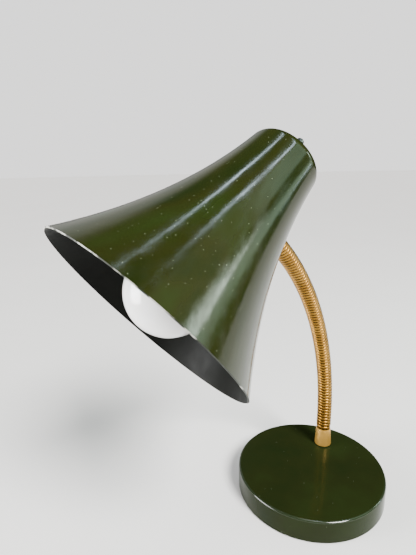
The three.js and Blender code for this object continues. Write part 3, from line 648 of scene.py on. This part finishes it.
# ---- Base -----------------------------------------------------------------------------
def add_base():
    edge = BASE_RADIUS - BASE_FILLET
    fillet_height = BASE_HEIGHT - BASE_FILLET
    inside = BASE_RADIUS - BASE_WALL
    rounding = BASE_SKIRT_ROUNDING
    skirt_top = BASE_SKIRT_LIFT + rounding
    profile = [
        (0, BASE_HEIGHT),
        (edge / 2, BASE_HEIGHT),
        *arc(edge, fillet_height, BASE_FILLET, math.pi / 2, 0, 12),
        (BASE_RADIUS, skirt_top),
        *arc(BASE_RADIUS - rounding, skirt_top, rounding, 0, -math.pi / 2, 4),
        (inside, BASE_SKIRT_LIFT),
        *arc(edge, fillet_height, BASE_FILLET - BASE_WALL, 0, math.pi / 2, 4),
        (0, BASE_HEIGHT - BASE_WALL),
    ]
    shell = finished("base_cover", turned(profile, LARGE_SIDES), BASE, "green_enamel", None, "base_shell")
    cut(shell, TUBE_HOLE_RADIUS, FOOT, low=-6, high=2)
    cut(shell, GLAND_HOLE_RADIUS, GLAND, low=BASE_RADIUS - 6, high=BASE_RADIUS + 3)
    shell.data.materials.append(EDGE_GREEN)
    steepest, flattest = 0.25, 0.99  # the rounded edge's faces look up by at least and at most this
    for face in shell.data.polygons:
        if face.center.z > fillet_height * MM and steepest < face.normal.z < flattest:
            face.material_index = 1
    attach(shell, "base")

    flange = BASE_RADIUS + FIT_GAP
    flange_top = flange + GLAND_FLANGE_HEIGHT
    rounding = GLAND_ROUNDING
    gland = [
        (GLAND_BORE_RADIUS, GLAND_INNER_END),
        (GLAND_BODY_RADIUS, GLAND_INNER_END),
        (GLAND_BODY_RADIUS, flange),
        (GLAND_FLANGE_RADIUS - GLAND_CHAMFER, flange),
        (GLAND_FLANGE_RADIUS, flange + GLAND_CHAMFER),
        *arc(GLAND_FLANGE_RADIUS - rounding, flange + rounding, rounding, 0, math.pi / 2, 8),
        (GLAND_BORE_RADIUS + GLAND_LIP, flange_top),
        (GLAND_BORE_RADIUS, flange_top - GLAND_LIP),
    ]
    finished("gland", turned(gland, SMALL_SIDES), GLAND, "black_rubber", "base", "cable_gland")


# ---- Neck -----------------------------------------------------------------------------
straight = NECK_STRAIGHT_TOP - NECK_START
link_length = (straight + NECK_BEND_RADIUS * NECK_TURN) / NECK_KNUCKLES


def neck_line(length):
    """Point on the neck's centre line in millimetres, and the two directions across it."""
    bend = max(0.0, length - straight) / NECK_BEND_RADIUS
    rise = NECK_START + min(length, straight) + NECK_BEND_RADIUS * math.sin(bend)
    reach = NECK_BEND_RADIUS * (1 - math.cos(bend))
    normal = neck_forward * math.cos(bend) - UP * math.sin(bend)
    return foot_place / MM + neck_forward * reach + UP * rise, neck_side, normal


def add_hose():
    """One wound piece for each link, along the neck's line at rest."""
    rib_pitch = link_length / RIBS_PER_LINK
    section = (NECK_CREST_RADIUS, NECK_GROOVE_DEPTH, NECK_INSIDE_RADIUS)
    for i in range(NECK_KNUCKLES):
        start = i * link_length
        wound = wound_tube(neck_line, start, rib_pitch, RIBS_PER_LINK, *section)
        nodes = [f"neck_link_{i + 1}"] + (["neck_stub"] if i == 0 else [])
        hose = finished(f"hose_{i + 1}", wound, BASE, "neck_brass", None, *nodes, crease=60)
        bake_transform(hose)

    outside = NECK_CREST_RADIUS - HEEL_INSET
    heel = ramp_ring(neck_line, HEEL_START, HEEL_THICKNESS, rib_pitch, outside, NECK_INSIDE_RADIUS)
    finished("neck_heel", heel, BASE, "neck_brass", "base")


def add_ferrules():
    rounding = FERRULE_FOOT_ROUNDING
    foot_width = FERRULE_FOOT_RADIUS - rounding
    foot = [
        (TUBE_HOLE_RADIUS, FIT_GAP),
        (foot_width, FIT_GAP),
        *arc(foot_width, FIT_GAP + rounding, rounding, -math.pi / 2, 0, 10),
        *((FERRULE_TOP_RADIUS + wider, FERRULE_HEIGHT - below) for wider, below in FERRULE_LIP),
        (TUBE_HOLE_RADIUS, FERRULE_HEIGHT),
    ]
    ring = turned(foot, MEDIUM_SIDES)
    collar = finished("foot_collar", ring, FOOT, "neck_brass", "base", "foot_ferrule")
    collar.data.materials[0] = FERRULE_BRASS

    head = [
        (TUBE_HOLE_RADIUS, HEAD_FERRULE_START),
        (FERRULE_TOP_RADIUS - HEAD_FERRULE_CHAMFER, HEAD_FERRULE_START),
        (FERRULE_TOP_RADIUS, HEAD_FERRULE_START + HEAD_FERRULE_CHAMFER),
        (HEAD_FERRULE_RADIUS, HEAD_FERRULE_END - HEAD_FERRULE_LIP_LENGTH),
        (HEAD_FERRULE_RADIUS - HEAD_FERRULE_LIP, HEAD_FERRULE_END),
        (TUBE_HOLE_RADIUS, HEAD_FERRULE_END),
    ]
    ring = turned(head, MEDIUM_SIDES)
    collar = finished("head_collar", ring, NIPPLE, "neck_brass", "neck_8", "head_ferrule")
    collar.data.materials[0] = FERRULE_BRASS


# ---- Shade ----------------------------------------------------------------------------
def shade_dome():
    """Radius and centre of the sphere that the cap's dome is part of."""
    inward = SHADE_CORNER_RADIUS * (math.cos(SHADE_CAP_SLOPE) - math.cos(SHADE_DOME_SLOPE))
    onward = SHADE_CORNER_RADIUS * (math.sin(SHADE_DOME_SLOPE) - math.sin(SHADE_CAP_SLOPE))
    radius = (shade_radius(SHADE_CAP_SLOPE) - inward) / math.cos(SHADE_DOME_SLOPE)
    return radius, SHADE_BODY_LENGTH + onward - radius * math.sin(SHADE_DOME_SLOPE)


def shade_outline(inset, steps):
    """The wall from rim to cap, this far in from its outer surface."""
    points = []
    for i in range(steps + 1):
        slope = SHADE_RIM_SLOPE + (SHADE_CAP_SLOPE - SHADE_RIM_SLOPE) * i / steps
        along = FLARE_RADIUS * (math.sin(SHADE_RIM_SLOPE) - math.sin(slope))
        points.append((shade_radius(slope) - inset * math.cos(slope), along - inset * math.sin(slope)))
    bend = SHADE_CORNER_RADIUS - inset
    corner_radius = shade_radius(SHADE_CAP_SLOPE) - SHADE_CORNER_RADIUS * math.cos(SHADE_CAP_SLOPE)
    corner_along = SHADE_BODY_LENGTH - SHADE_CORNER_RADIUS * math.sin(SHADE_CAP_SLOPE)
    points += arc(corner_radius, corner_along, bend, SHADE_CAP_SLOPE, SHADE_DOME_SLOPE, 14)[1:]
    radius, centre = shade_dome()
    hole_slope = math.acos(TUBE_HOLE_RADIUS / (radius - inset))
    points += arc(0, centre, radius - inset, SHADE_DOME_SLOPE, hole_slope, 8)[1:]
    return points


def add_shade():
    outline = [*shade_outline(0, 56), *reversed(shade_outline(SHADE_WALL, 40))]
    wall = turned(outline, LARGE_SIDES)
    shade = finished("shade_shell", wall, SHADE, "green_enamel", None, "shade", crease=50)
    cut(shade, TUBE_HOLE_RADIUS, NIPPLE, low=-6, high=6)
    shade.data.materials[0] = SHADE_GREEN
    shade.data.materials.append(INNER)
    shade.data.materials.append(RIM)
    to_shade = SHADE.inverted()
    slack = 0.2
    rim_inside = SHADE_OPENING_RADIUS - SHADE_WALL - slack
    rim_tilt = 0.7  # the rim's own faces look out or in less than this
    cap_inside = 40  # the dome is within this radius
    dome_tilt = -0.3  # the faces on its inside look back to the opening at least this much
    for face in shade.data.polygons:
        place = to_shade @ face.center / MM
        facing = to_shade.to_3x3() @ face.normal
        across = math.hypot(place.x, place.y)
        outward = facing.dot(Vector((place.x, place.y, 0))) / across
        if place.z < slack and across > rim_inside and abs(outward) < rim_tilt:
            face.material_index = 2
        elif outward < 0 or (across < cap_inside and facing.z < dome_tilt):
            face.material_index = 1
    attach(shade, "head")


# ---- Bulb, lampholder and switch -------------------------------------------------------
def bezier(start, first, second, end, steps):
    """Points of a Bezier curve in a turning profile, its start left out."""
    points = []
    for i in range(1, steps + 1):
        t = i / steps
        weights = ((1 - t) ** 3, 3 * t * (1 - t) ** 2, 3 * t * t * (1 - t), t**3)
        corners = (start, first, second, end)
        points.append(tuple(sum(w * c[axis] for w, c in zip(weights, corners)) for axis in (0, 1)))
    return points


def bulb_outline(inset):
    """The glass from its tip to the cap, this far in from its outer surface."""
    globe = arc(0, BULB_CENTRE, BULB_RADIUS - inset, -math.pi / 2, BULB_SHOULDER, 40)
    globe[0] = (0, globe[0][1])
    x, y = globe[-1]
    lead = BULB_SHOULDER_LEAD
    lean = (x - lead * math.sin(BULB_SHOULDER), y + lead * math.cos(BULB_SHOULDER))
    throat_radius = BULB_THROAT_RADIUS - inset
    flare = (throat_radius + BULB_THROAT_FLARE, BULB_THROAT_PLACE - BULB_THROAT_LEAD)
    taper = bezier((x, y), lean, flare, (throat_radius, BULB_THROAT_PLACE), 14)
    return [*globe, *taper, (BULB_NECK_RADIUS - inset, CAP_START)]


def add_bulb():
    seat = CAP_START + BULB_SEAT
    seat_ring = [(BULB_NECK_RADIUS, seat), (BULB_NECK_RADIUS - BULB_WALL, seat)]
    glass = [*bulb_outline(0), *seat_ring, *reversed(bulb_outline(BULB_WALL))]
    finished("bulb", turned(glass, BULB_SIDES), SHADE, "opal_glass", "head", "bulb_glass")

    def cap_line(length):
        return Vector((0, 0, CAP_START + CAP_THREAD_START + length)), Vector((1, 0, 0)), BACK

    inside = CAP_RADIUS - CAP_WALL
    section = (CAP_RADIUS, CAP_THREAD_DEPTH, inside)
    thread = wound_tube(cap_line, 0, CAP_THREAD_PITCH, CAP_THREAD_TURNS, *section, sides=64, samples=10)
    finished("cap_thread", thread, SHADE, "contact_brass", "head", "bulb_cap", crease=60)

    start = CAP_START + CAP_COLLAR_START
    end = CAP_START + CAP_COLLAR_END
    collar = [
        (CAP_RADIUS - CAP_COLLAR_CHAMFER, start),
        (CAP_RADIUS, start + CAP_COLLAR_CHAMFER),
        (CAP_RADIUS - CAP_COLLAR_TAPER, end),
        (inside, end),
        (inside, start),
    ]
    finished("cap_collar", turned(collar, MEDIUM_SIDES), SHADE, "contact_brass", "head")

    start = CAP_END - CAP_THROAT_LENGTH
    outside = CAP_RADIUS - CAP_THROAT_INSET
    throat = [
        (outside, start),
        (outside, CAP_END - CAP_SHOULDER),
        (CAP_MOUTH_RADIUS + 2 * CAP_LIP, CAP_END - CAP_LIP_DROP),
        (CAP_MOUTH_RADIUS, CAP_END),
        (CAP_MOUTH_RADIUS - CAP_LIP, CAP_END - CAP_LIP),
        (inside, CAP_END - CAP_SHOULDER - CAP_LIP),
        (inside, start),
    ]
    finished("cap_throat", turned(throat, MEDIUM_SIDES), SHADE, "contact_brass", "head")


def add_holder():
    depth = HOLDER_GROOVE_DEPTH
    grooves = []
    for i in range(HOLDER_GROOVES):
        height = HOLDER_RIM + HOLDER_GROOVE_START + HOLDER_GROOVE_PITCH * i
        grooves += [
            (HOLDER_RADIUS, height),
            (HOLDER_RADIUS - depth, height + depth),
            (HOLDER_RADIUS - depth, height + 2 * depth),
            (HOLDER_RADIUS, height + 3 * depth),
        ]
    inside = HOLDER_RADIUS - HOLDER_WALL
    boss_inside = HOLDER_BACK - HOLDER_WALL - HOLDER_BOSS_STEP
    profile = [
        (HOLDER_RADIUS - HOLDER_RIM_CHAMFER, HOLDER_RIM),
        (HOLDER_RADIUS, HOLDER_RIM + HOLDER_RIM_CHAMFER),
        *grooves,
        *arc(HOLDER_RADIUS - HOLDER_ROUNDING, HOLDER_SHOULDER, HOLDER_ROUNDING, 0, math.pi / 2, 6),
        (HOLDER_BOSS_RADIUS + HOLDER_BOSS_STEP, HOLDER_BACK - HOLDER_BOSS_STEP),
        (HOLDER_BOSS_RADIUS, HOLDER_BACK),
        (TUBE_HOLE_RADIUS, HOLDER_BACK),
        (TUBE_HOLE_RADIUS, boss_inside),
        (HOLDER_BOSS_RADIUS, boss_inside),
        (inside, HOLDER_SHOULDER),
        (inside, HOLDER_RIM),
    ]
    shell = turned(profile, MEDIUM_SIDES)
    finished("holder_shell", shell, SHADE, "black_bakelite", "head", "lampholder_body")


def add_switch():
    crown_radius = (BUTTON_RADIUS**2 + BUTTON_CROWN**2) / (2 * BUTTON_CROWN)
    crown_start = math.acos(BUTTON_RADIUS / crown_radius)
    crown = arc(0, BUTTON_TIP - crown_radius, crown_radius, crown_start, math.pi / 2, 12)
    crown[-1] = (0, BUTTON_TIP)
    button = [(0, BUTTON_INSIDE), (BUTTON_RADIUS, BUTTON_INSIDE), *crown]
    finished("button", turned(button, SMALL_SIDES), SHADE, "grey_metal", "button", "push_button")

    radius, centre = shade_dome()
    low = centre + radius + FIT_GAP
    high = low + RING_NUT_HEIGHT
    profile = [
        (TUBE_HOLE_RADIUS, low),
        (RING_NUT_RADIUS - RING_NUT_FOOT_CHAMFER, low),
        (RING_NUT_RADIUS, low + RING_NUT_FOOT_CHAMFER),
        (RING_NUT_RADIUS, high - RING_NUT_TOP_CHAMFER),
        (RING_NUT_RADIUS - RING_NUT_TOP_CHAMFER, high),
        (TUBE_HOLE_RADIUS, high),
    ]
    nut = turned(profile, RING_NUT_FLUTES * 4)
    fluted_from = RING_NUT_RADIUS - 0.1
    for vertex in nut.verts:
        if math.hypot(vertex.co.x, vertex.co.y) > fluted_from:
            turn = math.atan2(vertex.co.y, vertex.co.x)
            narrower = 1 - RING_NUT_FLUTE_DEPTH * (0.5 + 0.5 * math.cos(RING_NUT_FLUTES * turn))
            vertex.co.x *= narrower
            vertex.co.y *= narrower
    finished("ring_nut", nut, SHADE, "grey_metal", "head", "switch_ring_nut")


# ---- CAD nodes that stay ----------------------------------------------------------------
BEVELLED = ("nut", "bracket", "block", "screw", "washer", "plate", "contact")
ROUNDED = "lead"


def refine_kept_nodes():
    """Gives each CAD node that still shows its finish, real edges and smooth round faces."""
    slots = {s["node"]: s["material_slot"] for s in frame["record"]["subparts"]}
    for name, node in frame["nodes"].items():
        if node.hide_render:
            continue
        node.data.materials.clear()
        node.data.materials.append(FINISHES[slots[name]])
        node.data.polygons.foreach_set("use_smooth", [True] * len(node.data.polygons))
        weld = node.modifiers.new("weld", "WELD")
        weld.merge_threshold = KEPT_WELD * MM
        if ROUNDED in name:
            node.modifiers.new("round", "SUBSURF").render_levels = 1
            continue
        if any(word in name for word in BEVELLED):
            bevel = node.modifiers.new("edges", "BEVEL")
            bevel.width = KEPT_BEVEL * MM
            bevel.segments = 2
            bevel.limit_method = "ANGLE"
            bevel.angle_limit = KEPT_BEVEL_ANGLE
        split = node.modifiers.new("split", "EDGE_SPLIT")
        split.split_angle = KEPT_SPLIT_ANGLE


# ---- Floor, light and camera -------------------------------------------------------------
def strip_light(name, first, last, width, radiance, colour, distance=1.5, spread=180):
    """A rectangle of light, seen from the shade between two directions. The spread is in degrees."""
    start = Vector(first).normalized() * distance
    end = Vector(last).normalized() * distance
    data = bpy.data.lights.new(name, "AREA")
    data.shape = "RECTANGLE"
    data.size = width
    data.size_y = (end - start).length
    data.energy = radiance * math.pi * data.size * data.size_y
    data.color = colour
    data.spread = math.radians(spread)
    lamp = new_object(name, data)
    middle = (start + end) / 2
    lamp.matrix_world = frame_at(SHADE_MIDDLE + middle, middle, end - start)
    lamp.visible_camera = False


def soft_sun(name, towards, degrees, strength, colour):
    data = bpy.data.lights.new(name, "SUN")
    data.angle = math.radians(degrees)
    data.energy = strength
    data.color = colour
    lamp = new_object(name, data)
    lamp.matrix_world = frame_at(SHADE_MIDDLE + Vector(towards), Vector(towards), UP)


def add_floor():
    disc = bmesh.new()
    bmesh.ops.create_circle(disc, cap_ends=True, radius=FLOOR_RADIUS, segments=MEDIUM_SIDES)
    mesh = bpy.data.meshes.new("floor")
    disc.to_mesh(mesh)
    disc.free()
    floor = new_object("floor", mesh)
    paint = Paint("floor_paint", 0.7)
    paint.colour(paint.varied(paint.noise(3), (0.90, 0.895, 0.885), (0.92, 0.915, 0.905)))
    mesh.materials.append(paint.material)


def add_world():
    """The camera sees a plain pale backdrop. The lamp reflects a dim room with one pale wall."""
    world = bpy.data.worlds.new("studio")
    bpy.context.scene.world = world
    world.use_nodes = True
    tree = world.node_tree
    background = tree.nodes["Background"]
    background.inputs["Color"].default_value = (1.0, 0.995, 0.985, 1)

    toward_wall = new_node(tree, "ShaderNodeVectorMath", operation="DOT_PRODUCT")
    tree.links.new(new_node(tree, "ShaderNodeTexCoord").outputs["Generated"], toward_wall.inputs[0])
    toward_wall.inputs[1].default_value = WALL_SIDE.normalized()
    facing = toward_wall.outputs["Value"]
    radiance = (ROOM_RADIANCE, WALL_RADIANCE)
    room = mapped(tree, facing, WALL_EDGE, radiance, interpolation_type="SMOOTHSTEP")
    seen = new_node(tree, "ShaderNodeMix", data_type="FLOAT")
    tree.links.new(new_node(tree, "ShaderNodeLightPath").outputs["Is Camera Ray"], seen.inputs["Factor"])
    tree.links.new(room, seen.inputs["A"])
    seen.inputs["B"].default_value = BACKDROP_RADIANCE
    tree.links.new(seen.outputs["Result"], background.inputs["Strength"])


def add_lights():
    white = (1, 1, 1)
    warm = (1.0, 0.985, 0.96)
    cool = (0.70, 0.87, 1.0)
    teal = (0.62, 1.0, 0.86)
    lime = (0.9, 1.0, 0.6)
    green = (0.72, 1.0, 0.78)
    pale_green = (0.84, 1.0, 0.86)
    # Each strip's two ends, its width in metres, its radiance and its colour
    strip_light("skylight_left", (0.14, 0.12, 0.98), (0.00, 0.315, 0.945), 0.034, 36, cool)
    strip_light("skylight_right", (0.60, 0.13, 0.78), (0.36, 0.31, 0.88), 0.034, 36, cool)
    strip_light("side_panel", (0.62, 0.17, 0.77), (0.83, 0.38, 0.42), 0.30, 2.1, teal)
    strip_light("side_glow", (0.48, 0.30, 0.82), (0.76, 0.48, 0.46), 0.45, 0.7, lime)
    strip_light("window_top", (0.78, 0.62, -0.02), (0.775, 0.62, 0.12), 0.035, 42, cool)
    strip_light("window_middle", (0.775, 0.62, 0.10), (0.67, 0.60, 0.42), 0.20, 3.4, green)
    strip_light("window_low", (0.71, 0.61, 0.30), (0.66, 0.60, 0.47), 0.13, 20, pale_green)
    near = {"distance": 0.6, "spread": 70}
    strip_light("opening_panel", (-0.52, -0.86, 0.05), (-0.92, -0.42, 0.02), 0.45, 4.6, white, **near)
    strip_light("ceiling", (-0.45, -0.35, 0.82), (0.30, -0.10, 0.95), 0.30, 8, white)
    soft_sun("key", (0.65, -0.30, 0.70), degrees=22, strength=7.8, colour=warm)


def add_camera():
    data = bpy.data.cameras.new("camera")
    data.sensor_width = CAMERA_SENSOR
    data.lens = CAMERA_LENS
    data.clip_start = CAMERA_NEAREST
    camera = new_object("camera", data)
    back = -CAMERA_FORWARD.normalized()
    camera.matrix_world = frame_at(CAMERA_PLACE, back, CAMERA_UP)
    bpy.context.scene.camera = camera


add_camera()
add_floor()
add_world()
add_lights()
add_base()
add_hose()
add_ferrules()
add_shade()
add_bulb()
add_holder()
add_switch()
refine_kept_nodes()
